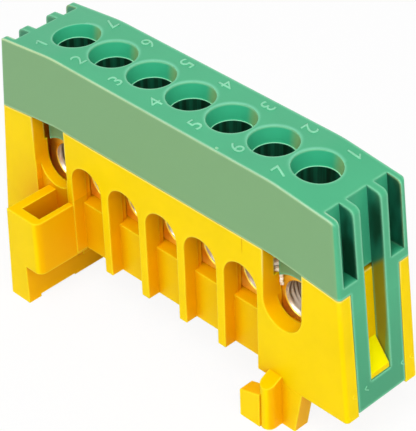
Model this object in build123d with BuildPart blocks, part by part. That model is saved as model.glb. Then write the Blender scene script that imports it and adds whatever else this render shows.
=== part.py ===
"""Insulated terminal bar that snaps onto a 35 mm rail. Units are mm, +Z is up.

The bar lies along X and the rail runs along Y, under the body. The origin is on
the floor that the feet stand on, below the middle of the terminal row.
"""
import os

from build123d import *

os.makedirs("parts", exist_ok=True)

# Terminal row
pitch = 6.5
ways = 7
row_end = pitch * (ways - 1) / 2
terminals = [pitch * (i - (ways - 1) / 2) for i in range(ways)]
inner_terminals = terminals[1:-1]
end_terminals = [terminals[0], terminals[-1]]
ribs_x = [x + pitch / 2 for x in terminals[:-1]]

# Brass bar
bar_end = 3.6
bar_half_length = row_end + bar_end
bar_width = 5.5
bar_height = 9.0
bar_z = 13.2
bar_break = 0.3
wire_radius = 2.4
wire_height = 3.35
wire_z = bar_z + wire_height
wire_break = 0.1

# Clamp screw, stored open: the tip is just clear of the wire bore
shank_radius = 1.6
thread_gap = 0.05
screw_hole_radius = shank_radius + thread_gap
head_radius = 2.4
head_height = 1.5
screw_travel = 3.7
head_z = bar_z + bar_height + screw_travel
tip_gap = 0.25
shank_length = head_z - wire_z - wire_radius - tip_gap
slot_width = 0.7
slot_depth = 0.9
cross_length = 2.6

# Body envelope, drafted towards the top on all four sides
top_z = 33.6
body_z = 6.15
end_reach = 6.35
end_draft = 2.5
body_half_length = bar_half_length + end_reach
top_half_length = body_half_length - end_draft
body_width = 11.74
top_width = 11.3
corner_radius = 0.5
crown_start = 18.0
crown_slope = 0.115
crown_radius = 20
seam_z = 23.85
seam_gap = 0.08
below, above = -10, 50

# Cover
plate = 2.0
skirt_inner = 4.84
recess = 1.98
end_wall = 1.1
rib_inner = 1.625
rib_outer = 2.7
rib_tip_radius = 0.8
pocket_floor_z = 24.0
leg_half_width = 3.83
leg_bottom_z = 6.56
window_bottom_z = 9.68
funnel_top_radius = 2.94
funnel_low_radius = 2.68
funnel_depth = 2.04
head_gap = 0.16
driver_radius = head_radius + head_gap
tube_wall = 1.04
tube_radius = driver_radius + tube_wall
tube_gap = 0.2
tube_bottom_z = head_z + head_height + tube_gap
tongue_half_width = 2.73
tongue_gap = 0.12
tongue_inner = bar_width / 2 + tongue_gap
tongue_thickness = 0.48
tongue_outer = tongue_inner + tongue_thickness
tongue_wire_gap = 0.05
tongue_side_z = wire_z + wire_radius + tongue_wire_gap
tongue_rise = 0.95

# Base
fit_gap = 0.12
bar_seat_gap = 0.1
floor_z = bar_z - bar_seat_gap
ledge_z = 19.2
bar_side_gap = 0.85
channel_low = bar_width / 2 + bar_side_gap
channel_step = 0.35
channel_high = channel_low + channel_step
inner_wall_gap = 0.6
inner_wall_root = 3.0
end_wall_outer = 2.0
bar_end_gap = 1.4
recess_wall = 4.22
arch_half_width = 2.65
arch_top_z = 19.9
port_half_width = 2.95
port_bottom_z = 14.1
guide_gap = 0.1
guide_rib = bar_width / 2 + guide_gap
guide_rib_half = 0.4
core_half = 2.9
core_roof = 1.6
core_top_z = floor_z - core_roof
core_wall = 1.3

# Snap ramp that the cover's leg drops over
ramp_top_z = 13.25
ramp_land_z = 10.4
ramp_bottom_z = 9.8
ramp_half_width = 1.5
ramp_inset = 0.12

# Rail foot and socket on one side
foot_outer_x = -22.0
foot_inner_x = -18.65
foot_reach = 11.77
foot_pad = 9.85
foot_pad_step = 0.4
hook_half = 3.6
hook_x = -17.4
hook_top_z = 4.9
hook_bottom_z = 3.2
socket_outer_x = -21.2
socket_inner_x = -15.8
socket_top_z = 13.45
socket_bottom_z = 5.8
socket_hole = (-19.8, -16.6)
socket_hole_reach = 10.5
socket_floor_z = 7.2
socket_radius = 1.0
socket_back = 5.07
socket_recess = (-22.35, -16.7)

# Rail key on the other side
tab_inner = 3.77
tab_outer = 5.9
tab_left_x = 17.0
tab_top_x = 22.5
tab_bottom_x = 21.4
nose = (17.4, 19.4)
nose_reach = 8.0
nose_shoulder_z = 7.1
arm_x = 14.8
arm_inner = 6.1
arm_outer = 8.1
arm_tip_z = 3.9
arm_root_z = 4.9



def end_x(z):
    """Distance of the drafted end face from the middle at one height."""
    slope = (body_half_length - top_half_length) / (top_z - body_z)
    return top_half_length + slope * (top_z - z)


def side_y(z):
    """Distance of the drafted front face from the middle at one height."""
    slope = (body_width - top_width) / 2 / (top_z - body_z)
    return top_width / 2 + slope * (top_z - z)


def side_view(y):
    """Plane seen from the front, with X to the right and Z up."""
    return Plane(origin=(0, y, 0), x_dir=(1, 0, 0), z_dir=(0, -1, 0))


def crowned_face(z_top, z_bottom, mode=Mode.ADD):
    """Side profile whose top is level over the terminals and slopes down past them."""
    reach = body_half_length + corner_radius
    z_end = z_top - crown_slope * (reach - crown_start)
    with BuildLine() as profile:
        FilletPolyline(
            (-reach, z_end),
            (-crown_start, z_top),
            (crown_start, z_top),
            (reach, z_end),
            radius=crown_radius,
        )
        Polyline((reach, z_end), (reach, z_bottom), (-reach, z_bottom), (-reach, z_end))
    make_face(profile.edges(), mode=mode)


def end_bounds(inset, mode=Mode.INTERSECT):
    """Side profile between the two drafted ends, taken in by an inset."""
    Polygon(
        (end_x(below) - inset, below),
        (end_x(above) - inset, above),
        (-end_x(above) + inset, above),
        (-end_x(below) + inset, below),
        align=None,
        mode=mode,
    )


def end_strips(inset_outer, inset_inner, z_low, z_high):
    """One strip at each end, parallel to the drafted end face."""
    for side in (1, -1):
        Polygon(
            (side * (end_x(z_low) - inset_inner), z_low),
            (side * (end_x(z_low) - inset_outer), z_low),
            (side * (end_x(z_high) - inset_outer), z_high),
            (side * (end_x(z_high) - inset_inner), z_high),
            align=None,
        )


def rectangle_at(x_low, x_high, y_low, y_high, mode=Mode.ADD):
    """Rectangle between two corners of the sketch."""
    with Locations(((x_low + x_high) / 2, (y_low + y_high) / 2)):
        Rectangle(x_high - x_low, y_high - y_low, mode=mode)


# The outer form that cover and base share, with its four upright corners rounded
with BuildPart() as envelope:
    with BuildSketch(side_view(0)):
        end_bounds(0, mode=Mode.ADD)
    extrude(amount=body_width, both=True)
    with BuildSketch(Plane.YZ):
        Polygon(
            (side_y(below), below),
            (side_y(above), above),
            (-side_y(above), above),
            (-side_y(below), below),
            align=None,
        )
    extrude(amount=2 * body_half_length, both=True, mode=Mode.INTERSECT)
    fillet(edges().group_by(Axis.Z)[1], corner_radius)

# Funnel and bore that lead the screwdriver to one clamp screw
with BuildPart() as driver_hole:
    with BuildSketch(Plane.XZ):
        with BuildLine():
            Polyline(
                (0, top_z + 1),
                (funnel_top_radius, top_z + 1),
                (funnel_top_radius, top_z),
                (funnel_low_radius, top_z - funnel_depth),
                (driver_radius, top_z - funnel_depth),
                (driver_radius, tube_bottom_z - 1),
                (0, tube_bottom_z - 1),
                close=True,
            )
        make_face()
    revolve(axis=Axis.Z)

# Cover: crowned plate, skirts, guide tubes and the two snap legs, in one moulding
with BuildPart() as cover:
    with BuildSketch(side_view(0)):
        crowned_face(top_z, 0)
        end_bounds(0)
        fillet(
            vertices().sort_by(Axis.Y)[-6:].sort_by(Axis.X)[0::5],
            rib_tip_radius,
        )
        crowned_face(seam_z, -1, mode=Mode.SUBTRACT)
    extrude(amount=body_width / 2 + 1, both=True)
    add(envelope.part, mode=Mode.INTERSECT)
    # Hollow between the skirts, up to the underside of the plate
    with BuildSketch(side_view(0)):
        crowned_face(top_z - plate, 0)
        end_bounds(recess + end_wall)
    extrude(amount=skirt_inner, both=True, mode=Mode.SUBTRACT)
    # Snap legs, as thick as the pockets above them are deep
    with BuildSketch(side_view(0)):
        end_strips(0, recess, leg_bottom_z, pocket_floor_z)
    extrude(amount=leg_half_width, both=True)
    # Guide tubes, which merge into one scalloped row
    with Locations([(x, 0, tube_bottom_z) for x in terminals]):
        Cylinder(
            tube_radius,
            top_z - plate / 2 - tube_bottom_z,
            align=(Align.CENTER, Align.CENTER, Align.MIN),
        )
    # Tongues that close the top of the open end ports
    for y in (-tongue_inner, tongue_outer):
        with BuildSketch(side_view(y)):
            for x in end_terminals:
                with BuildLine():
                    Polyline(
                        (x + tongue_half_width, tongue_side_z),
                        (x + tongue_half_width, top_z - plate * 0.7),
                        (x - tongue_half_width, top_z - plate * 0.7),
                        (x - tongue_half_width, tongue_side_z),
                    )
                    ThreePointArc(
                        (x - tongue_half_width, tongue_side_z),
                        (x, tongue_side_z + tongue_rise),
                        (x + tongue_half_width, tongue_side_z),
                    )
                make_face()
        extrude(amount=tongue_outer - tongue_inner)
    # Pockets between the end ribs; the middle one runs on as the leg's window
    for y in (-rib_outer, skirt_inner):
        with BuildSketch(side_view(y)):
            end_strips(-3, recess, pocket_floor_z, top_z + 2)
        extrude(amount=skirt_inner - rib_outer, mode=Mode.SUBTRACT)
    with BuildSketch(side_view(rib_inner)):
        end_strips(-3, recess, window_bottom_z, top_z + 2)
    extrude(amount=2 * rib_inner, mode=Mode.SUBTRACT)
    with Locations([(x, 0, 0) for x in terminals]):
        add(driver_hole.part, mode=Mode.SUBTRACT)

# Socket and rail foot, drawn on the front side
with BuildPart() as socket_foot:
    with BuildSketch(side_view(-recess_wall)):
        with BuildLine():
            Polyline(
                (foot_outer_x, 0),
                (foot_inner_x, 0),
                (foot_inner_x, socket_bottom_z),
                (socket_inner_x, socket_bottom_z),
                (socket_inner_x, socket_top_z),
                (socket_outer_x, socket_top_z),
                close=True,
            )
        make_face()
    extrude(amount=foot_reach - recess_wall)
    outer_corner = edges().filter_by(Axis.Z).sort_by(Axis.X)[-2:].sort_by(Axis.Y)[0]
    fillet(outer_corner, socket_radius)
    # Raise the sole between the pad and the middle
    with BuildSketch(Plane.XY):
        rectangle_at(foot_outer_x - 1, foot_inner_x + 1, -foot_pad, 0)
    extrude(amount=foot_pad_step, mode=Mode.SUBTRACT)
    # The socket opens upwards
    with BuildSketch(Plane.XY.offset(socket_floor_z)):
        rectangle_at(*socket_hole, -socket_hole_reach, -socket_back)
    extrude(amount=top_z, mode=Mode.SUBTRACT)

# Rail key, drawn on the front side
with BuildPart() as key:
    with BuildSketch(side_view(-tab_inner)):
        with BuildLine():
            Polyline(
                (tab_left_x, body_z),
                (tab_left_x, 0),
                (tab_bottom_x, 0),
                (tab_top_x, body_z),
                close=True,
            )
        make_face()
    extrude(amount=tab_outer - tab_inner)
    with BuildSketch(side_view(-arm_inner)):
        with BuildLine():
            Polyline(
                (arm_x, 0),
                (nose[0] + 0.5, 0),
                (nose[0] + 0.5, arm_root_z),
                (arm_x, arm_tip_z),
                close=True,
            )
        make_face()
    extrude(amount=arm_outer - arm_inner)
    # Round-nosed rib; its top slopes up to the wall
    nose_radius = (nose[1] - nose[0]) / 2
    with BuildSketch(Plane.XY):
        rectangle_at(*nose, -nose_reach + nose_radius, -tab_inner - 1)
        with Locations(((nose[0] + nose[1]) / 2, -nose_reach + nose_radius)):
            Circle(nose_radius)
    extrude(amount=nose_shoulder_z)
    with BuildSketch(Plane.YZ.offset(nose[0] - 1)):
        with BuildLine():
            Polyline(
                (-body_width / 2, nose_shoulder_z + 0.1),
                (-body_width / 2, nose_shoulder_z),
                (-nose_reach, body_z),
                (-nose_reach - 1, body_z),
                (-nose_reach - 1, nose_shoulder_z + 0.1),
                close=True,
            )
        make_face()
    extrude(amount=4, mode=Mode.SUBTRACT)

# Base: side walls with wire ports, bar channel, end walls, feet, in one moulding
with BuildPart() as base:
    with BuildSketch(side_view(0)):
        crowned_face(seam_z - seam_gap, body_z)
    extrude(amount=body_width / 2 + 1, both=True)
    add(envelope.part, mode=Mode.INTERSECT)
    # Inner walls that stand up inside the skirts
    with BuildSketch(side_view(0)):
        crowned_face(top_z - plate - inner_wall_gap, seam_z - inner_wall_root)
        end_bounds(recess + end_wall + fit_gap)
    extrude(amount=skirt_inner - fit_gap, both=True)
    # Bar channel, with a ledge where it widens
    with BuildSketch(Plane.XY.offset(floor_z)):
        Rectangle(2 * (bar_half_length + bar_end_gap), 2 * channel_low)
    extrude(amount=ledge_z - floor_z, mode=Mode.SUBTRACT)
    with BuildSketch(Plane.XY.offset(ledge_z)):
        Rectangle(2 * (bar_half_length + bar_end_gap), 2 * channel_high)
    extrude(amount=seam_z - seam_gap - ledge_z - 1.5, mode=Mode.SUBTRACT)
    with BuildSketch(Plane.XY.offset(seam_z - seam_gap - 1.5)):
        Rectangle(2 * body_half_length, 2 * channel_high)
    extrude(amount=top_z, mode=Mode.SUBTRACT)
    # Ribs that hold the bar in the middle of its channel
    with BuildSketch(Plane.XY.offset(floor_z - 0.5)):
        for x in ribs_x:
            rectangle_at(x - guide_rib_half, x + guide_rib_half, guide_rib, channel_low + 0.5)
            rectangle_at(x - guide_rib_half, x + guide_rib_half, -channel_low - 0.5, -guide_rib)
    extrude(amount=ledge_z - floor_z + 0.5)
    # Arched ports, open down to the floor of the channel
    with BuildSketch(side_view(0)):
        for x in inner_terminals:
            rectangle_at(
                x - arch_half_width,
                x + arch_half_width,
                floor_z,
                arch_top_z - arch_half_width,
            )
            with Locations((x, arch_top_z - arch_half_width)):
                Circle(arch_half_width)
    extrude(amount=body_width, both=True, mode=Mode.SUBTRACT)
    # Below them the wall steps in, which leaves the partition ribs standing
    for y in (-recess_wall, body_width):
        with BuildSketch(side_view(y)):
            for x in inner_terminals:
                rectangle_at(x - arch_half_width, x + arch_half_width, 0, floor_z + 1)
        extrude(amount=body_width - recess_wall, mode=Mode.SUBTRACT)
    # End ports, open at the top under the cover
    with BuildSketch(side_view(0)):
        for x in end_terminals:
            rectangle_at(
                x - port_half_width,
                x + port_half_width,
                port_bottom_z + port_half_width,
                top_z,
            )
            with Locations((x, port_bottom_z + port_half_width)):
                Circle(port_half_width)
    extrude(amount=body_width, both=True, mode=Mode.SUBTRACT)
    # Slots for the cover's legs
    with BuildSketch(side_view(0)):
        end_strips(-3, end_wall_outer, 0, top_z)
    extrude(amount=leg_half_width + fit_gap, both=True, mode=Mode.SUBTRACT)
    # Snap ramps
    with BuildSketch(side_view(0)):
        for side in (1, -1):
            Polygon(
                (side * (end_x(ramp_top_z) - end_wall_outer - 0.5), ramp_top_z),
                (side * (end_x(ramp_top_z) - end_wall_outer), ramp_top_z),
                (side * (end_x(ramp_land_z) - ramp_inset), ramp_land_z),
                (side * (end_x(ramp_bottom_z) - ramp_inset), ramp_bottom_z),
                (side * (end_x(ramp_bottom_z) - end_wall_outer - 0.5), ramp_bottom_z),
                align=None,
            )
    extrude(amount=ramp_half_width, both=True)
    # Cores under the channel floor keep the walls even
    with BuildSketch(Plane.XY.offset(body_z)):
        for x in terminals:
            rectangle_at(
                x - pitch / 2 + core_wall / 2,
                x + pitch / 2 - core_wall / 2,
                -core_half,
                core_half,
            )
    extrude(amount=core_top_z - body_z, mode=Mode.SUBTRACT)
    # Recess in the wall above each socket, then the feet on both sides
    for y in (-socket_back, body_width):
        with BuildSketch(side_view(y)):
            rectangle_at(*socket_recess, socket_floor_z, seam_z)
        extrude(amount=body_width - socket_back, mode=Mode.SUBTRACT)
    with BuildSketch(Plane.XY.offset(foot_pad_step / 2)):
        rectangle_at(foot_outer_x, foot_inner_x, -recess_wall, recess_wall)
    extrude(amount=body_z + 0.5 - foot_pad_step / 2)
    with BuildSketch(side_view(hook_half)):
        with BuildLine():
            Polyline(
                (foot_inner_x - 0.5, hook_bottom_z - 0.8),
                (hook_x, hook_bottom_z + 0.6),
                (hook_x, hook_top_z),
                (foot_inner_x - 0.5, hook_top_z),
                close=True,
            )
        make_face()
    extrude(amount=2 * hook_half)
    add(socket_foot.part)
    add(mirror(socket_foot.part, Plane.XZ, mode=Mode.PRIVATE))
    add(key.part)
    add(mirror(key.part, Plane.XZ, mode=Mode.PRIVATE))

# Terminal bar: one wire bore across and one screw hole down at each terminal
with BuildPart() as bar:
    with Locations((0, 0, bar_z)):
        Box(
            2 * bar_half_length,
            bar_width,
            bar_height,
            align=(Align.CENTER, Align.CENTER, Align.MIN),
        )
    chamfer(edges().filter_by(Axis.X), bar_break)
    with BuildSketch(side_view(0)):
        with Locations([(x, wire_z) for x in terminals]):
            Circle(wire_radius)
    extrude(amount=bar_width, both=True, mode=Mode.SUBTRACT)
    mouths = edges().filter_by(GeomType.CIRCLE).filter_by(
        lambda e: abs(abs(e.center().Y) - bar_width / 2) < 0.01
    )
    chamfer(mouths, wire_break)
    with BuildSketch(Plane.XY.offset(bar_z + bar_height)):
        with Locations([(x, 0) for x in terminals]):
            Circle(screw_hole_radius)
    extrude(amount=-(bar_z + bar_height - wire_z), mode=Mode.SUBTRACT)

# Clamp screw, drawn at the middle terminal; the head takes a blade or a cross tip
with BuildPart() as screw:
    with Locations((0, 0, head_z)):
        Cylinder(
            head_radius,
            head_height,
            align=(Align.CENTER, Align.CENTER, Align.MIN),
        )
    chamfer(edges().sort_by(Axis.Z)[-1], 0.3)
    with Locations((0, 0, head_z)):
        Cylinder(
            shank_radius,
            shank_length,
            align=(Align.CENTER, Align.CENTER, Align.MAX),
        )
    with BuildSketch(Plane.XY.offset(head_z + head_height)):
        Rectangle(3 * head_radius, slot_width)
        Rectangle(slot_width, cross_length)
    extrude(amount=-slot_depth, mode=Mode.SUBTRACT)


def save(part, label):
    """Name one piece and write it as its own file."""
    part.label = label
    export_step(part, f"parts/{label}.step")


save(cover.part, "cover")
save(base.part, "base")
save(bar.part, "terminal_bar")
for number, x in enumerate(terminals, start=1):
    save(Pos(x, 0, 0) * screw.part, f"clamp_screw_{number}")
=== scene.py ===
from math import cos, pi, radians, sin
from types import SimpleNamespace

import bmesh
import bpy
from mathutils import Matrix, Vector


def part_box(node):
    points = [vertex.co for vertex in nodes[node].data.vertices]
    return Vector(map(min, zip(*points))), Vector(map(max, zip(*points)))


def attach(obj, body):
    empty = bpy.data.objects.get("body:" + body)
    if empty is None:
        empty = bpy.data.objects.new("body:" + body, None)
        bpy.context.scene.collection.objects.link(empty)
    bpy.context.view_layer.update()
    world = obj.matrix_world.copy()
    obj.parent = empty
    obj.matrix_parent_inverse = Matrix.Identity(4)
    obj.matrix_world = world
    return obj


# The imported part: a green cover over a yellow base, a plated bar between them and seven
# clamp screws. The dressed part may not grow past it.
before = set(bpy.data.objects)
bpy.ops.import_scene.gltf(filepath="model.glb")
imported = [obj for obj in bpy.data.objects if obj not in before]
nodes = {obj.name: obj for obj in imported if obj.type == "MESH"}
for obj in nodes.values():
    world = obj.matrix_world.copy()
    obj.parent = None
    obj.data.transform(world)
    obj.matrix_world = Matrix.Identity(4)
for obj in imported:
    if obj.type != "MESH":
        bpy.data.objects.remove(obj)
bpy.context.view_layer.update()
mm = 0.001


# Base: yellow polyamide in one moulding, with the wire ports, the channel for the bar, the
# rail foot and the rail keys. It is moulded in a sparked tool, so its faces are satin. Its
# edges carry a painted pale highlight and its recesses a painted orange shade.
def new_group(name, inputs, outputs):
    group = bpy.data.node_groups.new(name, "ShaderNodeTree")
    for title, kind, value in inputs:
        socket = group.interface.new_socket(title, in_out="INPUT", socket_type=kind)
        socket.default_value = value
    for title, kind in outputs:
        group.interface.new_socket(title, in_out="OUTPUT", socket_type=kind)
    return group, group.nodes.new("NodeGroupInput").outputs, group.nodes.new("NodeGroupOutput").inputs


def fill(tree, sockets, values):
    """Links or sets each socket, as its value is another socket or a plain one."""
    for socket, value in zip(sockets, values):
        if isinstance(value, bpy.types.NodeSocket):
            tree.links.new(value, socket)
        elif value is not None:
            socket.default_value = value


def add_node(tree, kind, *inputs, **settings):
    """Adds a node, fills its inputs in their order and gives its outputs."""
    node = tree.nodes.new(kind)
    for name, value in settings.items():
        setattr(node, name, value)
    fill(tree, node.inputs, inputs)
    return node.outputs


def calc(tree, operation, *inputs, clamp=False):
    return add_node(tree, "ShaderNodeMath", *inputs, operation=operation, use_clamp=clamp)[0]


def product(tree, first, *others):
    """Product of the values, such as masks that all have to hold."""
    for other in others:
        first = calc(tree, "MULTIPLY", first, other)
    return first


def ramp(tree, value, low, high, smooth=True):
    """0 where value is at low, 1 where it is at high, held beyond them."""
    kind = "SMOOTHSTEP" if smooth else "LINEAR"
    return add_node(tree, "ShaderNodeMapRange", value, low, high, interpolation_type=kind)[0]


def blend_colors(tree, factor, first, second, way="MIX"):
    """Mix node for colours: they are its inputs 6 and 7, and the result is its output 2."""
    node = tree.nodes.new("ShaderNodeMix")
    node.data_type = "RGBA"
    node.blend_type = way
    fill(tree, (node.inputs[0], node.inputs[6], node.inputs[7]), (factor, first, second))
    return node.outputs[2]


def noise(tree, place, scale, detail=2.0, stretch=(1, 1, 1)):
    """Noise with scale lumps to the metre, more or fewer along an axis where it is stretched."""
    if stretch != (1, 1, 1):
        place = add_node(tree, "ShaderNodeMapping", place, None, None, stretch)[0]
    return add_node(tree, "ShaderNodeTexNoise", place, None, scale, detail)[0]


def bump(tree, height, depth, strength, normal=None):
    return add_node(tree, "ShaderNodeBump", strength, depth, 1.0, height, normal)[0]


def new_material(name):
    """Material, its tree, the inputs of its shader and its texture coordinates."""
    material = bpy.data.materials.new(name)
    material.use_nodes = True
    tree = material.node_tree
    return material, tree, tree.nodes["Principled BSDF"].inputs, add_node(tree, "ShaderNodeTexCoord")


ray_samples = 8
edge_rounding = 0.2 * mm
grain_depth = 0.03 * mm


def moulded_plastic_group():
    """Satin plastic: painted pale highlights on convex edges, painted shade in recesses, cloud and
    spark grain.
    """
    group, entry, result = new_group(
        "moulded_plastic",
        [
            ("Color", "NodeSocketColor", (0.8, 0.8, 0.8, 1)),
            ("Shade", "NodeSocketColor", (0.5, 0.5, 0.5, 1)),
            ("Deep", "NodeSocketColor", (0.1, 0.1, 0.1, 1)),
            ("Shade At", "NodeSocketFloat", 0.5),
            ("Deep At", "NodeSocketFloat", 0.2),
            ("Reach", "NodeSocketFloat", 8 * mm),
            ("Edge Width", "NodeSocketFloat", 0.25 * mm),
            ("Roughness", "NodeSocketFloat", 0.45),
            ("Grain", "NodeSocketFloat", 0.2),
        ],
        [
            ("Color", "NodeSocketColor"),
            ("Open", "NodeSocketFloat"),
            ("Edge", "NodeSocketFloat"),
            ("Roughness", "NodeSocketFloat"),
            ("Normal", "NodeSocketVector"),
        ],
    )
    place = add_node(group, "ShaderNodeTexCoord")["Object"]
    cloud = noise(group, place, scale=170.0, detail=3.0)
    spark = noise(group, place, scale=4200.0, detail=1.0)

    # how open a point is to the room, from 0 deep in a recess to 1 on a plain face
    open_air = add_node(
        group, "ShaderNodeAmbientOcclusion", None, entry["Reach"], samples=ray_samples, only_local=True
    )["AO"]
    # painted shade: the colour turns to Shade and then Deep as the point is less open
    lit = ramp(group, open_air, entry["Shade At"], 1.0)
    dim = ramp(group, open_air, entry["Deep At"], entry["Shade At"])
    color = blend_colors(group, dim, entry["Deep"], entry["Shade"])
    color = blend_colors(group, lit, color, entry["Color"])

    # slow change of tone from the flow of the melt
    tone = calc(group, "MULTIPLY_ADD", cloud, 0.16, 0.92)
    tone = add_node(group, "ShaderNodeCombineXYZ", tone, tone, tone)[0]
    color = blend_colors(group, 1.0, color, tone, "MULTIPLY")

    # painted highlight: convex edges, where little material lies behind the face, are painted pale
    inside = add_node(
        group, "ShaderNodeAmbientOcclusion", None, entry["Edge Width"],
        samples=ray_samples, only_local=True, inside=True,
    )["AO"]
    thin = ramp(group, inside, 0.96, 0.58, smooth=False)
    edge_highlight = product(group, thin, ramp(group, open_air, 0.25, 0.75))
    edge_highlight = calc(group, "MULTIPLY", edge_highlight, calc(group, "MULTIPLY_ADD", cloud, 0.5, 0.6), clamp=True)

    # softly rounded edges under the fine grain of the tool
    rounded = add_node(group, "ShaderNodeBevel", edge_rounding, samples=ray_samples)[0]
    grain = calc(group, "MULTIPLY_ADD", spark, entry["Grain"], product(group, cloud, 0.1))
    normal = bump(group, grain, grain_depth, 1.0, rounded)
    rough = calc(group, "MULTIPLY_ADD", spark, 0.12, calc(group, "SUBTRACT", entry["Roughness"], 0.06))
    fill(group, result, (color, open_air, edge_highlight, rough, normal))
    return group


moulded_plastic = moulded_plastic_group()


def plastic_finish(tree, **values):
    """Places the shared effect in a material with this plastic's own values."""
    node = tree.nodes.new("ShaderNodeGroup")
    node.node_tree = moulded_plastic
    for name, value in values.items():
        node.inputs[name.replace("_", " ")].default_value = value
    return node.outputs


weld_brown = (0.72, 0.34, 0.0, 1)
weld_x, weld_half_width, weld_core = 13.4 * mm, 0.11 * mm, 0.03 * mm
weld_front_y = -5.3 * mm
weld_foot_z, weld_full_z = 21.3 * mm, 22.3 * mm


def with_weld_line(tree, color, x, y, z):
    """A line over one port of the front, where two flows of the melt met."""
    off_line = calc(tree, "ABSOLUTE", calc(tree, "SUBTRACT", x, weld_x))
    line = ramp(tree, off_line, weld_half_width, weld_core)
    in_front = calc(tree, "LESS_THAN", y, weld_front_y)
    weld = product(tree, line, ramp(tree, z, weld_foot_z, weld_full_z), in_front)
    return blend_colors(tree, product(tree, weld, 0.7), color, weld_brown)


side_shade_gold, end_port_shade_gold = (0.86, 0.40, 0.0, 1), (1.0, 0.45, 0.0, 1)
upward_light_gold = (0.99, 0.54, 0.0, 1)
lit_ramp_yellow = (0.93, 0.83, 0.0, 1)
edge_highlight_yellow, edge_highlight_cream = (1.0, 0.79, 0.02, 1), (1.0, 0.84, 0.22, 1)
end_face_x = 25 * mm
end_port_x, port_floor_z = 15 * mm, 14 * mm
yellow_edge_z, cream_edge_z = 19 * mm, 22 * mm


def yellow_plastic():
    material, tree, shader, coordinates = new_material("yellow_plastic")
    # painted shade: Shade and Deep are the orange that the recesses are painted
    finish = plastic_finish(
        tree,
        Color=(0.93, 0.655, 0.0, 1),
        Shade=(0.79, 0.375, 0.0, 1),
        Deep=(0.72, 0.235, 0.0, 1),
        Shade_At=0.6,
        Deep_At=0.15,
        Edge_Width=0.24 * mm,
        Roughness=0.42,
        Grain=0.16,
    )
    x, y, z = add_node(tree, "ShaderNodeSeparateXYZ", coordinates["Object"])
    facing = add_node(tree, "ShaderNodeSeparateXYZ", coordinates["Normal"])
    out = calc(tree, "ABSOLUTE", x)
    sideways = calc(tree, "ABSOLUTE", facing[0])
    at_end = calc(tree, "GREATER_THAN", out, end_face_x)

    # painted shade: side walls of the ports, the socket and the keys are painted a deeper gold
    # than the fronts, and what looks up is painted lighter, as painted light
    inner_side = ramp(tree, sideways, 0.45, 0.85)
    inner_side = calc(tree, "MULTIPLY", inner_side, calc(tree, "SUBTRACT", 0.8, at_end), clamp=True)
    over_floor = calc(tree, "GREATER_THAN", z, port_floor_z)
    in_end_port = product(tree, calc(tree, "GREATER_THAN", out, end_port_x), over_floor)
    gold = blend_colors(tree, in_end_port, side_shade_gold, end_port_shade_gold)
    color = blend_colors(tree, inner_side, finish["Color"], gold)
    upward = product(tree, ramp(tree, facing[2], 0.25, 0.9), 0.6)
    color = blend_colors(tree, upward, color, upward_light_gold)

    # painted light: the sloped faces of the snap ramps are painted a brighter lemon
    slope = product(tree, sideways, facing[2], at_end)
    color = blend_colors(tree, ramp(tree, slope, 0.3, 0.45), color, lit_ramp_yellow)
    color = with_weld_line(tree, color, x, y, z)

    # painted highlight: the pale edges turn from yellow to cream towards the top
    edge = blend_colors(tree, ramp(tree, z, yellow_edge_z, cream_edge_z), edge_highlight_yellow, edge_highlight_cream)
    color = blend_colors(tree, finish["Edge"], color, edge)
    fill(tree, (shader["Base Color"],), (color,))
    fill(tree, (shader["Roughness"], shader["Normal"]), (finish["Roughness"], finish["Normal"]))
    shader["Specular IOR Level"].default_value = 0.07
    shader["Specular Tint"].default_value = (1.0, 0.75, 0.05, 1)
    return material


def give_finish(name, material):
    mesh = nodes[name].data
    mesh.materials.clear()
    mesh.materials.append(material)


yellow = yellow_plastic()
give_finish("base", yellow)


# Cover: green polyamide in one moulding that snaps over the base, with a funnel and a tube
# over each screw to guide the driver. Its long faces carry a painted hazy sheen that its top
# lacks, and the tubes are painted dark with shade below the lip of the funnel.
cover_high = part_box("cover")[1]
screw_names = sorted(name for name in nodes if name.startswith("clamp_screw"))
screw_xs = [sum(corner.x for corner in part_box(name)) / 2 for name in screw_names]
pitch = screw_xs[1] - screw_xs[0]
row_end_x = screw_xs[-1] + pitch / 2
funnel_radius = 2.98 * mm
funnel_depth = 2.0 * mm
lip_z = cover_high.z - funnel_depth
long_wall = 1.4 * mm
root_two = 1.414


def terminal_coordinates(tree, place):
    """Distance along the row from the nearest terminal's axis, then plain x, y and z."""
    x, y, z = add_node(tree, "ShaderNodeSeparateXYZ", place)
    return calc(tree, "WRAP", x, pitch / 2, -pitch / 2), x, y, z


def radius_of(tree, first, second):
    squares = calc(tree, "MULTIPLY_ADD", second, second, product(tree, first, first))
    return calc(tree, "SQRT", squares)


def point_of_cover(tree, coordinates, finish):
    """What the cover's tones ask of a point: its place, its face and how open it lies."""
    point = SimpleNamespace(place=coordinates["Object"], openness=finish["Open"])
    point.along, point.x, point.y, point.z = terminal_coordinates(tree, point.place)
    point.facing = add_node(tree, "ShaderNodeSeparateXYZ", coordinates["Normal"])
    point.long_face = ramp(tree, calc(tree, "ABSOLUTE", point.facing[1]), 0.75, 0.97)
    point.out = calc(tree, "ABSOLUTE", point.x)
    point.across = calc(tree, "ABSOLUTE", point.y)
    point.on_long_wall = calc(tree, "GREATER_THAN", point.across, cover_high.y - long_wall)
    point.in_row = calc(tree, "LESS_THAN", point.out, row_end_x)
    point.radius = radius_of(tree, point.along, point.y)
    point.in_hole = product(tree, calc(tree, "LESS_THAN", point.radius, funnel_radius), point.in_row)
    point.diagonal = product(tree, point.radius, root_two)
    return point


sheen_green = (0.19, 0.375, 0.16, 1)
faint_sheen_x, full_sheen_x = 29.4 * mm, 26.5 * mm


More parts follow.
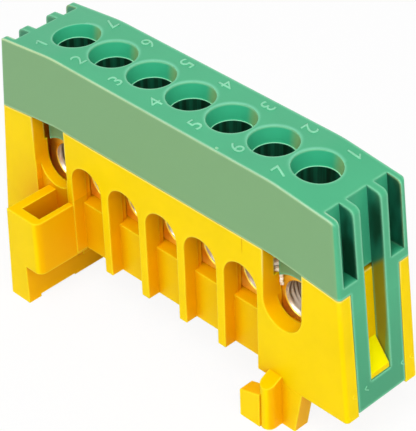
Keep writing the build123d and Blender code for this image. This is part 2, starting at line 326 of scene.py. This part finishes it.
def with_haze(tree, color, point):
    """Painted hazy sheen on the open long faces, fainter towards the ends."""
    sheen = product(tree, point.long_face, ramp(tree, point.openness, 0.5, 0.85))
    inwards = ramp(tree, point.out, faint_sheen_x, full_sheen_x)
    sheen = product(tree, sheen, calc(tree, "MULTIPLY_ADD", inwards, 0.5, 0.45))
    return blend_colors(tree, sheen, color, sheen_green)


pocket_shade_black, pocket_shade_green = (0.001, 0.035, 0.014, 1), (0.008, 0.15, 0.085, 1)
shaded_base_yellow = (0.27, 0.225, 0.0, 1)
between_legs_y = 1.8 * mm
no_shaded_yellow, full_shaded_yellow = -2.9 * mm, -4.0 * mm


def with_dark_pockets(tree, color, point):
    """Painted shade on the side walls in the end pockets, and between the legs a dark olive painted as
    the base's yellow in shade.
    """
    side_wall = product(tree, point.long_face, calc(tree, "SUBTRACT", 1.0, point.in_row))
    on_the_right = calc(tree, "GREATER_THAN", point.x, 0.0)
    hollow = product(tree, side_wall, ramp(tree, point.openness, 0.95, 0.5))
    hollow = product(tree, hollow, calc(tree, "MULTIPLY_ADD", on_the_right, 0.6, 0.4))
    shade_mottle = noise(tree, point.place, scale=380.0, stretch=(1, 1, 0.35))
    dark = blend_colors(tree, ramp(tree, shade_mottle, 0.36, 0.66), pocket_shade_black, pocket_shade_green)
    color = blend_colors(tree, hollow, color, dark)

    # the painted olive lies under a line that rises outwards by 45 degrees
    from_line = calc(tree, "SUBTRACT", point.z, point.out)
    between = product(tree, side_wall, calc(tree, "LESS_THAN", point.across, between_legs_y))
    shaded_yellow = product(tree, between, ramp(tree, from_line, no_shaded_yellow, full_shaded_yellow))
    return blend_colors(tree, product(tree, shaded_yellow, 0.9), color, shaded_base_yellow)


foot_green = (0.038, 0.30, 0.145, 1)
end_wall = 1.2 * mm
leg_top_z, leg_foot_z = 24 * mm, 7 * mm


def with_deep_feet(tree, color, point):
    """Deeper green on the ends, towards the feet of the legs."""
    on_end = calc(tree, "GREATER_THAN", point.out, cover_high.x - end_wall)
    foot = product(tree, on_end, ramp(tree, point.z, leg_top_z, leg_foot_z))
    return blend_colors(tree, product(tree, foot, 0.8), color, foot_green)


long_face_highlight = (0.38, 0.60, 0.28, 1)


def with_pale_edges(tree, color, point, edge, highlight_color):
    """Painted pale highlights on the edges, yellower on the long faces."""
    on_long_face = product(tree, point.long_face, point.on_long_wall)
    return blend_colors(tree, edge, color, blend_colors(tree, on_long_face, highlight_color, long_face_highlight))


shoulder_highlight_green, shoulder_highlight_cream = (0.50, 0.72, 0.48, 1), (0.64, 0.80, 0.44, 1)
shoulder_width = 0.5 * mm
green_shoulder_x, cream_shoulder_x = 5 * mm, -25 * mm
back_shoulder_y, front_shoulder_y = 6 * mm, -1 * mm


def with_creamy_shoulder(tree, color, point):
    """Painted highlight in a patchy band where the front long face meets the top, creamier to the left.
    """
    bent = add_node(tree, "ShaderNodeBevel", shoulder_width, samples=ray_samples)[0]
    bent = add_node(tree, "ShaderNodeSeparateXYZ", bent)
    shoulder = product(tree, calc(tree, "ABSOLUTE", bent[1]), bent[2])
    shoulder = product(tree, ramp(tree, shoulder, 0.16, 0.44), point.on_long_wall)
    shoulder_patches = noise(tree, point.place, scale=500.0, stretch=(0.3, 1, 1))
    patchy = calc(tree, "MULTIPLY_ADD", shoulder_patches, 0.7, 0.3)
    shoulder = calc(tree, "MULTIPLY", shoulder, patchy, clamp=True)
    shoulder = product(tree, shoulder, ramp(tree, point.y, back_shoulder_y, front_shoulder_y))
    to_the_left = ramp(tree, point.x, green_shoulder_x, cream_shoulder_x)
    cream = blend_colors(tree, to_the_left, shoulder_highlight_green, shoulder_highlight_cream)
    return blend_colors(tree, shoulder, color, cream)


funnel_light_green, funnel_highlight_olive = (0.045, 0.50, 0.26, 1), (0.50, 0.52, 0.13, 1)
rim_highlight_green, ledge_highlight_green = (0.35, 0.75, 0.45, 1), (0.32, 0.78, 0.50, 1)
tube_shade_black, tube_shade_green = (0.001, 0.02, 0.008, 1), (0.004, 0.10, 0.05, 1)
rim_foot_z, rim_full_z = cover_high.z - 0.3 * mm, cover_high.z - 0.1 * mm
lip_blend = 0.12 * mm
ledge_height = 0.5 * mm


def with_driver_holes(tree, color, point):
    """A funnel painted a lighter green as painted light, with a painted olive highlight on its side
    towards +X and +Y and a painted highlight at its rim, then a painted pale highlight on the ledge and
    painted shade, dark with streaks, down the tube.
    """
    wall = product(tree, point.in_hole, calc(tree, "LESS_THAN", point.facing[2], 0.9))
    highlit = calc(tree, "DIVIDE", calc(tree, "ADD", point.along, point.y), point.diagonal)
    highlit = product(tree, ramp(tree, highlit, 0.55, 1.0), 0.5)
    funnel = blend_colors(tree, highlit, funnel_light_green, funnel_highlight_olive)
    rim = ramp(tree, point.z, rim_foot_z, rim_full_z)
    funnel = blend_colors(tree, product(tree, rim, 0.5), funnel, rim_highlight_green)

    # the streaks of the painted shade run down the tube: their noise is unrolled round its axis
    bearing = calc(tree, "ARCTAN2", point.along, point.y)
    height = product(tree, point.z, 20.0)
    unrolled = add_node(tree, "ShaderNodeCombineXYZ", bearing, point.x, height)[0]
    streaks = noise(tree, unrolled, scale=4.0)
    tube = blend_colors(tree, ramp(tree, streaks, 0.4, 0.7), tube_shade_black, tube_shade_green)
    bore = blend_colors(tree, ramp(tree, point.z, lip_z - lip_blend, lip_z), tube, funnel)
    color = blend_colors(tree, wall, color, bore)
    ledge = product(tree, point.in_hole, calc(tree, "SUBTRACT", 1.0, wall))
    ledge = product(tree, ledge, calc(tree, "LESS_THAN", point.z, lip_z + ledge_height))
    return blend_colors(tree, ledge, color, ledge_highlight_green)


collar_highlight_green = (0.19, 0.62, 0.40, 1)
collar_width = 0.55 * mm
collar_depth = 0.35 * mm


def with_collars(tree, color, point):
    """A soft painted highlight collar on the top, behind each hole and to its left."""
    behind = calc(tree, "DIVIDE", calc(tree, "SUBTRACT", point.y, point.along), point.diagonal)
    near = ramp(tree, point.radius, funnel_radius + collar_width, funnel_radius)
    on_top = calc(tree, "GREATER_THAN", point.z, cover_high.z - collar_depth)
    collar = product(tree, near, point.in_row, on_top, ramp(tree, behind, -0.3, 0.9))
    off_hole = calc(tree, "SUBTRACT", 0.7, point.in_hole)
    collar = calc(tree, "MULTIPLY", collar, off_hole, clamp=True)
    return blend_colors(tree, collar, color, collar_highlight_green)


def green_plastic(name, highlight_color):
    material, tree, shader, coordinates = new_material(name)
    # painted shade: Shade and Deep are the greens that the recesses are painted
    finish = plastic_finish(
        tree,
        Color=(0.055, 0.40, 0.195, 1),
        Shade=(0.045, 0.42, 0.22, 1),
        Deep=(0.01, 0.18, 0.08, 1),
        Shade_At=0.5,
        Deep_At=0.22,
        Edge_Width=0.38 * mm,
        Roughness=0.44,
        Grain=0.16,
    )
    point = point_of_cover(tree, coordinates, finish)
    color = with_haze(tree, finish["Color"], point)
    color = with_dark_pockets(tree, color, point)
    color = with_deep_feet(tree, color, point)
    color = with_pale_edges(tree, color, point, finish["Edge"], highlight_color)
    color = with_creamy_shoulder(tree, color, point)
    color = with_driver_holes(tree, color, point)
    color = with_collars(tree, color, point)
    fill(tree, (shader["Base Color"],), (color,))
    fill(tree, (shader["Roughness"], shader["Normal"]), (finish["Roughness"], finish["Normal"]))
    shader["Specular IOR Level"].default_value = 0.35
    return material


# the second value is the colour of the painted edge highlights
green = green_plastic("green_plastic", (0.20, 0.62, 0.36, 1))
give_finish("cover", green)


# Numbers: the terminals' numbers stand on the top of the cover in two rows, each row to be
# read from its own side. They are part of the cover's moulding, a tenth of a millimetre high.
number_size = 2.8 * mm
number_rise = 0.1 * mm
number_edge = 0.03 * mm
stroke_thinning = 0.04 * mm
flag_length, flag_thickness, flag_slant = 0.85 * mm, 0.2 * mm, radians(42)
flag_shift, flag_drop = -0.25 * mm, 0.33 * mm
front_row_shift, front_row_y = -1.95 * mm, -3.65 * mm
back_row_shift, back_row_y = 1.2 * mm, 4.35 * mm


def top_of_cover(x, y):
    """Place and upward direction of the cover's top at x, y."""
    start = Vector((x, y, cover_high.z + 1 * mm))
    return nodes["cover"].ray_cast(start, Vector((0, 0, -1)))[1:3]


def stand_on_cover(shape, x, y, turn):
    """Turns a flat shape about Z and stands it on the cover's top at x, y."""
    spot, upward = top_of_cover(x, y)
    tilt = Vector((0, 0, 1)).rotation_difference(upward).to_matrix().to_4x4()
    shape.transform(Matrix.Translation(spot) @ tilt @ Matrix.Rotation(turn, 4, "Z"))


def add_piece(name, mesh, material, body="body"):
    piece = bpy.data.objects.new(name, mesh)
    bpy.context.scene.collection.objects.link(piece)
    mesh.materials.clear()
    mesh.materials.append(material)
    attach(piece, body)


def add_flag(mesh):
    """Gives the font's plain 1 the short slanted stroke at its head."""
    head = max(vert.co.y for vert in mesh.vertices)
    shape = bmesh.new()
    shape.from_mesh(mesh)
    flag = bmesh.ops.create_cube(shape, size=1.0)["verts"]
    bmesh.ops.scale(shape, vec=(flag_length, flag_thickness, number_rise), verts=flag)
    bmesh.ops.rotate(shape, cent=(0, 0, 0), matrix=Matrix.Rotation(flag_slant, 3, "Z"), verts=flag)
    bmesh.ops.translate(shape, vec=(flag_shift, head - flag_drop, 0), verts=flag)
    shape.to_mesh(mesh)
    shape.free()


def number_mesh(number):
    words = bpy.data.curves.new("number_words", "FONT")
    words.body = str(number)
    words.align_x, words.align_y = "CENTER", "CENTER"
    words.size = number_size
    words.resolution_u = 5
    words.offset = -stroke_thinning
    words.extrude = number_rise / 2
    words.bevel_depth = number_edge
    words.bevel_resolution = 1
    holder = bpy.data.objects.new("number_words", words)
    mesh = bpy.data.meshes.new_from_object(holder)
    bpy.data.objects.remove(holder)
    bpy.data.curves.remove(words)
    if number == 1:
        add_flag(mesh)
    return mesh


# the numbers' painted edge highlights are paler
raised_green = green_plastic("green_plastic_numbers", (0.26, 0.70, 0.44, 1))
for way, screw_x in enumerate(screw_xs):
    for row, number, shift, row_y, turn in (
        ("front", way + 1, front_row_shift, front_row_y, pi / 2),
        ("back", len(screw_xs) - way, back_row_shift, back_row_y, -pi / 2),
    ):
        number_shape = number_mesh(number)
        stand_on_cover(number_shape, screw_x + shift, row_y, turn)
        add_piece(f"{row}_number_{number}", number_shape, raised_green)


# Mould marks: a nub on the cover's front edge where the melt came in, and four small angled
# marks across each end, two on the cover's legs and two on the base beside them.
gate_width, gate_length, gate_rise = 0.45 * mm, 0.3 * mm, 0.1 * mm
gate_x, gate_y = 9.44 * mm, -5.2 * mm
mark_z, mark_width, mark_rise = 9.2 * mm, 0.16 * mm, 0.06 * mm
mark_strokes = ((0.75 * mm, radians(55)), (0.5 * mm, radians(130)))
outside_x = 50 * mm


def round_edges(shape, edges, offset, segments):
    bmesh.ops.bevel(
        shape, geom=edges, offset=offset, segments=segments, profile=0.5,
        affect="EDGES", material=-1,
    )


def pip_mesh(name, width, length, rise):
    """Low pip with rounded edges, its foot at Z 0."""
    mesh = bpy.data.meshes.new(name)
    shape = bmesh.new()
    bmesh.ops.create_cube(shape, size=1.0)
    bmesh.ops.scale(shape, vec=(width, length, 2 * rise), verts=shape.verts)
    upright = [edge for edge in shape.edges if abs((edge.verts[0].co - edge.verts[1].co).z) > rise]
    round_edges(shape, upright, 0.45 * min(width, length), 3)
    crown = [edge for edge in shape.edges if all(vert.co.z > 0.9 * rise for vert in edge.verts)]
    round_edges(shape, crown, 0.6 * rise, 2)
    shape.to_mesh(mesh)
    shape.free()
    return mesh


gate = pip_mesh("gate_nub", gate_width, gate_length, gate_rise)
stand_on_cover(gate, gate_x, gate_y, 0)
add_piece("gate_nub", gate, green)

for end_name, end in (("right", 1), ("left", -1)):
    for place_name, across, owner, material, slot in (
        ("cover_front", -2.75 * mm, "cover", green, "green_plastic"),
        ("cover_back", 3.25 * mm, "cover", green, "green_plastic"),
        ("base_front", -4.75 * mm, "base", yellow, "yellow_plastic"),
        ("base_back", 4.75 * mm, "base", yellow, "yellow_plastic"),
    ):
        start = Vector((end * outside_x, end * across, mark_z))
        spot, outward = nodes[owner].ray_cast(start, Vector((-end, 0, 0)))[1:3]
        lie = Vector((0, 0, 1)).rotation_difference(outward).to_matrix().to_4x4()
        for stroke, (length, angle) in enumerate(mark_strokes):
            pip = pip_mesh("pip", length, mark_width, mark_rise)
            reach = Matrix.Translation((length / 2, 0, 0))
            pip.transform(Matrix.Translation(spot) @ lie @ Matrix.Rotation(angle, 4, "Z") @ reach)
            add_piece(f"{end_name}_{place_name}_mark_{stroke + 1}", pip, material)


# Bar: drawn brass with a bright plating, in the channel of the base. The drill has left
# rings in the wire bores and a bright flare at their mouths, and the die has left fine lines
# along the faces, where the plating has worn down to warm brass.
bar_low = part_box("terminal_bar")[0]
wire_height = 3.35 * mm
wire_z = bar_low.z + wire_height
wire_radius = 2.4 * mm
bore_margin = 0.15 * mm
ring_pitch, ring_depth, ring_wander = 0.6 * mm, 0.05 * mm, 12.0
flare_start_y, flare_full_y, flare_depth = 1.9 * mm, 2.9 * mm, 0.4 * mm
dim_start_y, dim_full_y = 1.5 * mm, 0.4 * mm
line_depth = 0.02 * mm
face_brass, face_bright = (0.98, 0.66, 0.05, 1), (1.0, 0.80, 0.14, 1)
wall_bright, wall_stain = (1.0, 0.95, 0.87, 1), (0.90, 0.68, 0.38, 1)
groove_brown, depth_shade_brown = (0.22, 0.14, 0.09, 1), (0.22, 0.14, 0.08, 1)
flare_white = (1.0, 1.0, 0.98, 1)


def plated_brass():
    material, tree, shader, coordinates = new_material("plated_brass")
    place = coordinates["Object"]
    along, _, y, z = terminal_coordinates(tree, place)
    inwards = calc(tree, "ABSOLUTE", y)
    radius = radius_of(tree, along, calc(tree, "SUBTRACT", z, wire_z))
    facing = add_node(tree, "ShaderNodeSeparateXYZ", coordinates["Normal"])
    on_wall = calc(tree, "LESS_THAN", calc(tree, "ABSOLUTE", facing[1]), 0.5)
    in_bore = product(tree, calc(tree, "LESS_THAN", radius, wire_radius + bore_margin), on_wall)

    # rings of the drill, uneven, and the flare at the mouth
    wander = noise(tree, place, scale=260.0)
    turns = product(tree, y, 2 * pi / ring_pitch)
    ring = calc(tree, "SINE", calc(tree, "MULTIPLY_ADD", wander, ring_wander, turns))
    ring = calc(tree, "MULTIPLY_ADD", ring, 0.5, 0.5)
    patchy = ramp(tree, noise(tree, place, scale=330.0, detail=1.0), 0.35, 0.6)
    groove = product(tree, calc(tree, "POWER", calc(tree, "SUBTRACT", 1.0, ring), 2.0), patchy)
    mouth = ramp(tree, inwards, flare_start_y, flare_full_y)

    # lines of the die on the faces, and in the bores a stained wall, darkened in the depth by painted
    # shade
    drawn = noise(tree, place, scale=700.0, detail=3.0, stretch=(0.06, 1, 1))
    stain = noise(tree, place, scale=420.0, detail=3.0)
    face = blend_colors(tree, ramp(tree, drawn, 0.35, 0.7), face_brass, face_bright)
    wall = blend_colors(tree, groove, wall_bright, groove_brown)
    wall = blend_colors(tree, ramp(tree, stain, 0.6, 0.78), wall, wall_stain)
    depth = ramp(tree, inwards, dim_start_y, dim_full_y)
    wall = blend_colors(tree, product(tree, depth, 0.75), wall, depth_shade_brown)
    wall = blend_colors(tree, mouth, wall, flare_white)
    color = blend_colors(tree, in_bore, face, wall)

    ring_height = product(tree, in_bore, product(tree, groove, -ring_depth))
    flare_height = product(tree, mouth, in_bore, -flare_depth)
    height = calc(tree, "ADD", ring_height, flare_height)
    height = calc(tree, "ADD", height, product(tree, drawn, line_depth))
    normal = bump(tree, height, 1.0, 0.8)
    rough = calc(tree, "MULTIPLY_ADD", drawn, 0.2, calc(tree, "MULTIPLY_ADD", in_bore, -0.06, 0.34))
    fill(tree, (shader["Base Color"], shader["Roughness"], shader["Normal"]), (color, rough, normal))
    shader["Metallic"].default_value = 1.0
    return material


brass = plated_brass()
give_finish("terminal_bar", brass)


# Torn plating: at the right end port the bar's face is torn into a strip of small teeth, in
# steps from the top down. They are the bar's own metal, pushed up by a tool, with bright and
# rough faces.
tan_metal, cream_metal = (0.80, 0.55, 0.32, 1), (1.0, 0.95, 0.84, 1)
fleck_depth = 0.03 * mm

# sizes and middles of the teeth, in millimetres
wide_tooth, narrow_tooth = Vector((0.80, 0.30, 0.38)), Vector((0.46, 0.34, 0.36))
wide_teeth = (
    (15.78, -2.88, 20.25),
    (15.86, -2.92, 19.88),
    (15.80, -2.95, 19.54),
    (16.06, -3.06, 19.44),
    (16.36, -3.16, 19.42),
)
narrow_teeth = (
    (16.80, -3.02, 18.78),
    (16.86, -3.02, 18.40),
    (16.80, -3.02, 18.02),
    (16.86, -2.98, 17.64),
)
teeth = [(wide_tooth, spot) for spot in wide_teeth] + [(narrow_tooth, spot) for spot in narrow_teeth]

# each tooth leans and turns a little differently, in degrees
tooth_lean, lean_step = -28, 9
tooth_turn, turn_step = 34, 8
tooth_edge = 0.05 * mm


def torn_plating():
    material, tree, shader, coordinates = new_material("torn_plating")
    fleck = noise(tree, coordinates["Object"], scale=2600.0, detail=3.0)
    color = blend_colors(tree, ramp(tree, fleck, 0.3, 0.7), tan_metal, cream_metal)
    fill(tree, (shader["Base Color"],), (color,))
    fill(tree, (shader["Roughness"],), (calc(tree, "MULTIPLY_ADD", fleck, 0.3, 0.25),))
    fill(tree, (shader["Normal"],), (bump(tree, fleck, fleck_depth, 0.6),))
    shader["Metallic"].default_value = 0.8
    return material


torn = bmesh.new()
for tooth, (size, spot) in enumerate(teeth):
    lean = Matrix.Rotation(radians(tooth_lean + lean_step * (tooth % 3)), 3, "X")
    turn = Matrix.Rotation(radians(tooth_turn + turn_step * (tooth % 2)), 3, "Z")
    made = bmesh.ops.create_cube(torn, size=1.0)["verts"]
    bmesh.ops.scale(torn, vec=size * mm, verts=made)
    bmesh.ops.rotate(torn, cent=(0, 0, 0), matrix=lean, verts=made)
    bmesh.ops.rotate(torn, cent=(0, 0, 0), matrix=turn, verts=made)
    bmesh.ops.translate(torn, vec=Vector(spot) * mm, verts=made)
round_edges(torn, torn.edges[:], tooth_edge, 2)
torn_mesh = bpy.data.meshes.new("torn_strip")
torn.to_mesh(torn_mesh)
torn.free()
add_piece("torn_strip", torn_mesh, torn_plating())


# Clamp screws: plated steel, turned and rolled, one over each wire bore.
screw_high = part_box(screw_names[0])[1]
head_height = 1.5 * mm
screw_head_z = screw_high.z - head_height
shank_reach = 1.75 * mm
thread_pitch, thread_depth = 0.7 * mm, 0.3 * mm
turning_pitch, turning_depth = 0.12 * mm, 0.002 * mm
plain_dark, plain_bright = (0.50, 0.47, 0.42, 1), (0.74, 0.72, 0.68, 1)
thread_root_shade, thread_crest = (0.16, 0.14, 0.11, 1), (0.78, 0.76, 0.72, 1)


def plated_steel():
    material, tree, shader, coordinates = new_material("plated_steel")
    place = coordinates["Object"]
    along, _, y, z = terminal_coordinates(tree, place)
    radius = radius_of(tree, along, y)
    facing = add_node(tree, "ShaderNodeSeparateXYZ", coordinates["Normal"])

    # the thread's helix, on the shank alone
    turn = product(tree, calc(tree, "ARCTAN2", along, y), 1 / (2 * pi))
    climb = calc(tree, "FRACT", calc(tree, "ADD", product(tree, z, 1 / thread_pitch), turn))
    crest = calc(tree, "ABSOLUTE", calc(tree, "MULTIPLY_ADD", climb, 2.0, -1.0))
    crest = calc(tree, "SUBTRACT", 1.0, crest)
    shank = calc(tree, "LESS_THAN", radius, shank_reach)
    side = calc(tree, "LESS_THAN", calc(tree, "ABSOLUTE", facing[2]), 0.5)
    threaded = product(tree, shank, side, calc(tree, "LESS_THAN", z, screw_head_z))

    # fine rings from the turning, and a little grime
    grime = noise(tree, place, scale=900.0, detail=3.0)
    turned = calc(tree, "SINE", product(tree, radius, 2 * pi / turning_pitch))
    plain = blend_colors(tree, ramp(tree, grime, 0.35, 0.7), plain_dark, plain_bright)
    # painted shade: the roots of the thread are painted dark
    thread = blend_colors(tree, crest, thread_root_shade, thread_crest)
    color = blend_colors(tree, threaded, plain, thread)
    height = product(tree, crest, threaded, thread_depth)
    height = calc(tree, "MULTIPLY_ADD", turned, turning_depth, height)
    rough = calc(tree, "MULTIPLY_ADD", grime, 0.2, 0.2)
    normal = bump(tree, height, 1.0, 0.8)
    fill(tree, (shader["Base Color"], shader["Roughness"], shader["Normal"]), (color, rough, normal))
    shader["Metallic"].default_value = 1.0
    return material


steel = plated_steel()
for name in screw_names:
    give_finish(name, steel)


# Floor: plain pale paper, wide enough for every view. To the camera it shines nearly white
# by itself, with a trace of the part's soft shadow kept.
floor_reach = 2.0
paper_white = 0.9
floor_mesh = bpy.data.meshes.new("floor")
floor_shape = bmesh.new()
bmesh.ops.create_grid(floor_shape, x_segments=1, y_segments=1, size=floor_reach)
floor_shape.to_mesh(floor_mesh)
floor_shape.free()
floor = bpy.data.objects.new("floor", floor_mesh)
bpy.context.scene.collection.objects.link(floor)


def seen_ray(tree):
    """1 for the rays that show a background: the camera's, and those off metal or through glass."""
    ray = add_node(tree, "ShaderNodeLightPath")
    seen = calc(tree, "MAXIMUM", ray["Is Camera Ray"], ray["Is Glossy Ray"])
    return calc(tree, "MAXIMUM", seen, ray["Is Transmission Ray"])


def pale_floor():
    material, tree, shader, _ = new_material("pale_floor")
    shader["Base Color"].default_value = (paper_white, paper_white, paper_white, 1)
    shader["Roughness"].default_value = 0.9
    shader["Specular IOR Level"].default_value = 0.0
    lit_paper = tree.nodes["Principled BSDF"].outputs[0]
    white_paper = add_node(tree, "ShaderNodeEmission", (1, 1, 1, 1), 1.0)[0]
    shown = product(tree, seen_ray(tree), paper_white)
    surface = add_node(tree, "ShaderNodeMixShader", shown, lit_paper, white_paper)[0]
    fill(tree, tree.nodes["Material Output"].inputs, (surface,))
    return material


floor_mesh.materials.append(pale_floor())


# Light: a white studio. The world is white where it is seen or reflected and dimmer as a
# light, and four soft lamps give the part's top, front, end and back their order.
even_light = 0.4
lamp_size, lamp_distance = 0.4, 0.6
world = bpy.data.worlds.new("studio")
bpy.context.scene.world = world
world.use_nodes = True
sky = world.node_tree
studio = sky.nodes["Background"].inputs
strength = calc(sky, "MULTIPLY_ADD", seen_ray(sky), 1 - even_light, even_light)
fill(sky, (studio["Color"], studio["Strength"]), ((1, 1, 1, 1), strength))


def soft_lamp(name, direction, watts):
    """Soft round lamp that shines on the part from the direction given."""
    lamp = bpy.data.lights.new(name, "AREA")
    lamp.shape = "DISK"
    lamp.size = lamp_size
    lamp.energy = watts
    lamp_object = bpy.data.objects.new(name, lamp)
    towards = Vector(direction).normalized()
    lamp_object.location = towards * lamp_distance
    lamp_object.rotation_euler = towards.to_track_quat("Z", "Y").to_euler()
    bpy.context.scene.collection.objects.link(lamp_object)


soft_lamp("top_lamp", (0.3, -0.5, 1.0), 2.2)
soft_lamp("front_lamp", (-0.2, -1.0, 0.7), 0.35)
soft_lamp("end_lamp", (1.0, -0.2, 0.6), 0.75)
soft_lamp("back_lamp", (-0.7, 1.0, 0.2), 0.5)


# Camera: a long lens at the right front, above the part. It is turned, tilted and rolled as
# the photograph shows the part, and its lens fits the photograph's frame.
photo_width, photo_height = 416, 431
focal_pixels = 1988.67
sensor = 36.0
camera_place = Vector((0.13788, -0.12624, 0.15711))
turn, tilt, roll = radians(47.11), radians(36.908), radians(-2.448)
camera = bpy.data.cameras.new("camera")
camera.sensor_width = sensor
camera.lens = focal_pixels / max(photo_width, photo_height) * sensor
camera.clip_start = 10 * mm
camera_object = bpy.data.objects.new("camera", camera)
forward = Vector((-sin(turn) * cos(tilt), cos(turn) * cos(tilt), -sin(tilt)))
level = Vector((cos(turn), sin(turn), 0))
upright = level.cross(forward)
right = level * cos(roll) + upright * sin(roll)
up = upright * cos(roll) - level * sin(roll)
axes = Matrix((right, up, -forward)).transposed().to_4x4()
camera_object.matrix_world = Matrix.Translation(camera_place) @ axes
bpy.context.scene.collection.objects.link(camera_object)
bpy.context.scene.camera = camera_object
bpy.context.scene.view_settings.view_transform = "Standard"
